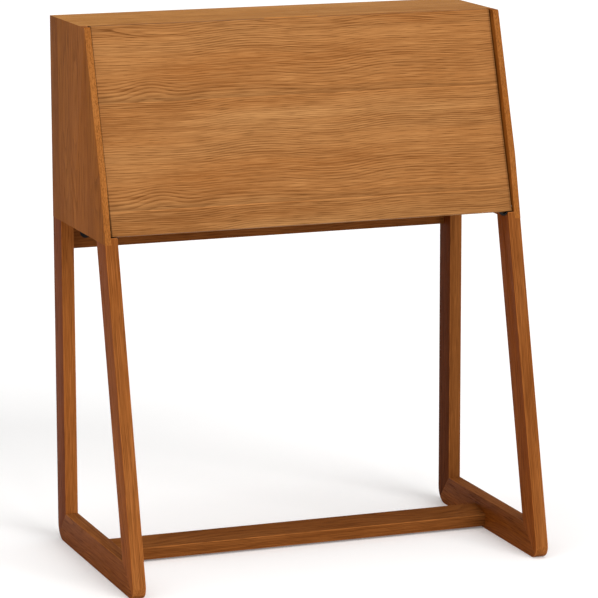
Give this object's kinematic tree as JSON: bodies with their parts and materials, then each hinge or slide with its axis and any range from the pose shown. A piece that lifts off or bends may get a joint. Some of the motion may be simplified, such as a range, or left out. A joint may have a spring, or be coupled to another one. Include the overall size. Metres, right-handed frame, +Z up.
{
  "type": "secretary desk",
  "caption": "Slant-front secretary desk: a fall-front case with pigeonholes on two trapezoid side frames joined by a rear rail and a tilted stretcher.",
  "frame": {"origin": "on the floor at the middle of the desk's footprint", "axes": "+X to the right seen from the front, +Y to the rear, +Z up"},
  "size_m": [0.914, 0.5334, 1.128],
  "materials": {
    "flap_oak": "satin, horizontal grain",
    "case_oak": "satin",
    "frame_oak": "satin",
    "inner_oak": "satin",
    "dowel_beech": "bare",
    "black_plastic": "moulded",
    "black_steel": "powder coat",
    "brass": "turned",
    "bright_steel": "zinc plated"
  },
  "bodies": {
    "case": {"top_panel": "case_oak", "catch_screws": "bright_steel", "side_panel_left": "case_oak", "side_panel_right": "case_oak", "pivot_pin_left": "bright_steel", "pivot_pin_right": "bright_steel", "writing_deck": "inner_oak", "back_panel": "inner_oak", "back_cleat": "inner_oak", "back_screws": "bright_steel", "rear_leg_left": "frame_oak", "rear_leg_right": "frame_oak", "foot_rail_left": "frame_oak", "foot_rail_right": "frame_oak", "front_leg_left": "frame_oak", "front_leg_right": "frame_oak", "head_rail_left": "frame_oak", "head_rail_right": "frame_oak", "deck_screws": "bright_steel", "swing_cup_left": "black_plastic", "swing_cup_right": "black_plastic", "cam_lock_left": "black_plastic", "cam_lock_right": "black_plastic", "rear_rail": "frame_oak", "cam_bolts": "bright_steel", "stretcher": "frame_oak", "stretcher_dowels": "dowel_beech", "stay_mount_left": "black_steel", "stay_mount_right": "black_steel", "stay_mount_screws": "bright_steel", "magnetic_catch_left": "black_plastic", "magnetic_catch_right": "black_plastic", "organizer_shelf": "inner_oak", "organizer_end_left": "inner_oak", "organizer_divider_left": "inner_oak", "organizer_divider_middle": "inner_oak", "organizer_divider_right": "inner_oak", "organizer_end_right": "inner_oak"},
    "flap": {"stay_bracket_screws": "bright_steel", "stay_bracket_left": "black_steel", "stay_bracket_right": "black_steel", "strike_plate_left": "bright_steel", "strike_plate_right": "bright_steel", "pivot_bush_left": "brass", "pivot_bush_right": "brass", "flap": "flap_oak"},
    "rod_left": {"stay_rod_left": "bright_steel"},
    "rod_right": {"stay_rod_right": "bright_steel"},
    "guide_left": {"stay_guide_left": "black_steel"},
    "guide_right": {"stay_guide_right": "black_steel"}
  },
  "joints": [
    {"name": "flap_hinge", "type": "hinge", "parent": "case", "child": "flap", "pos_m": [0, -0.0868, 0.7235], "axis": [1, 0, 0], "range_deg": [0, 107.6]},
    {"name": "stay_rod_left_turn", "type": "hinge", "parent": "flap", "child": "rod_left", "pos_m": [-0.433, -0.021, 0.87468], "axis": [1, 0, 0], "range_deg": [-53.8, 0]},
    {"name": "stay_guide_left_turn", "type": "hinge", "parent": "case", "child": "guide_left", "pos_m": [-0.433, -0.00318, 0.8656], "axis": [1, 0, 0], "range_deg": [0, 53.8]},
    {"name": "stay_rod_right_turn", "type": "hinge", "parent": "flap", "child": "rod_right", "pos_m": [0.433, -0.021, 0.87468], "axis": [1, 0, 0], "range_deg": [-53.8, 0]},
    {"name": "stay_guide_right_turn", "type": "hinge", "parent": "case", "child": "guide_right", "pos_m": [0.433, -0.00318, 0.8656], "axis": [1, 0, 0], "range_deg": [0, 53.8]}
  ],
  "couplings": [
    {"joint": "stay_rod_left_turn", "follows": "flap_hinge", "ratio": -0.5},
    {"joint": "stay_guide_left_turn", "follows": "flap_hinge", "ratio": 0.5},
    {"joint": "stay_rod_right_turn", "follows": "flap_hinge", "ratio": -0.5},
    {"joint": "stay_guide_right_turn", "follows": "flap_hinge", "ratio": 0.5}
  ]
}
